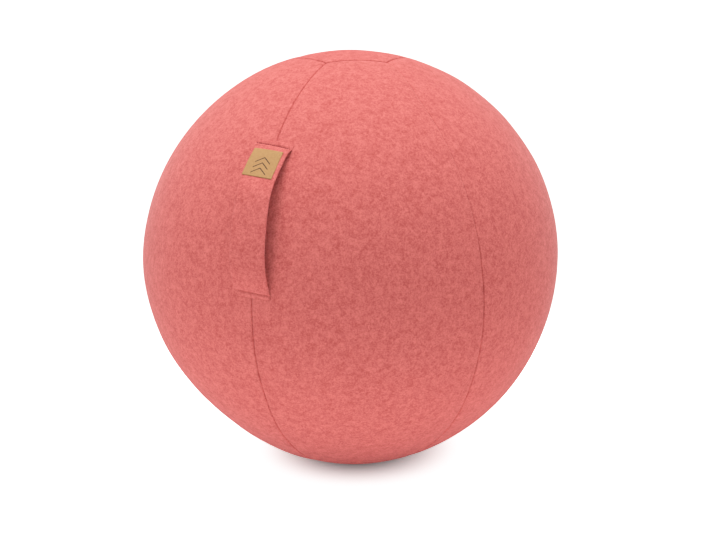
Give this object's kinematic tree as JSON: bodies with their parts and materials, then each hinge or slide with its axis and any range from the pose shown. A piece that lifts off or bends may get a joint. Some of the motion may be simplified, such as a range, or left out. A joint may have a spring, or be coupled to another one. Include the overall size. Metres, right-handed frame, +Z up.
{
  "type": "balance ball chair",
  "caption": "Felt-covered inflatable sitting ball with gore panels, six-sided cap, side carry loop and rear zip.",
  "frame": {"origin": "middle of the flat contact patch on the floor, under the ball's centre", "axes": "+Z up through the ball's centre and the middle of the top cap; -Y towards the carry loop; the zip runs down the +Y side"},
  "size_m": [0.65, 0.6604, 0.6461],
  "materials": {
    "felt": "matte",
    "pvc_skin": "satin",
    "valve_plastic": "satin",
    "zip_tape": "matte",
    "zip_teeth": "satin",
    "zip_metal": "satin",
    "thread": "matte",
    "label_leather": "matte"
  },
  "bodies": {
    "cover": {"top_cap": "felt", "cover_panel_1": "felt", "cover_panel_2": "felt", "cover_panel_3": "felt", "cover_panel_4": "felt", "cover_panel_5": "felt", "cover_panel_6": "felt", "bottom_cap": "felt", "handle_top_end": "felt", "handle_bottom_end": "felt", "handle_stitching": "thread", "zip_tape_left": "zip_tape", "zip_tape_right": "zip_tape", "zip_teeth_left": "zip_teeth", "zip_teeth_right": "zip_teeth", "zip_top_stops": "zip_teeth", "zip_bottom_stop": "zip_teeth", "bladder": "pvc_skin", "valve_plug": "valve_plastic"},
    "handle": {"handle_strap": "felt", "label_patch": "label_leather"},
    "zip_slider": {"zip_slider_body": "zip_metal"},
    "zip_pull": {"zip_pull_tab": "zip_metal"}
  },
  "joints": [
    {"name": "handle_swing", "type": "hinge", "parent": "cover", "child": "handle", "pos_m": [0, -0.28169, 0.44795], "axis": [-0.0157, 0.4067, 0.9134], "range_deg": [-15, 15], "stiffness_Nm_per_rad": 0.05, "deforming": ["label_patch"]},
    {"name": "zip_travel", "type": "hinge", "parent": "cover", "child": "zip_slider", "pos_m": [0, 0, 0.32253], "axis": [-1, 0, 0], "range_deg": [0, 64.9], "deforming": ["zip_teeth_left", "zip_teeth_right"]},
    {"name": "pull_swing", "type": "hinge", "parent": "zip_slider", "child": "zip_pull", "pos_m": [0, 0.32395, 0.34598], "axis": [1, 0, 0], "range_deg": [0, 170]}
  ]
}
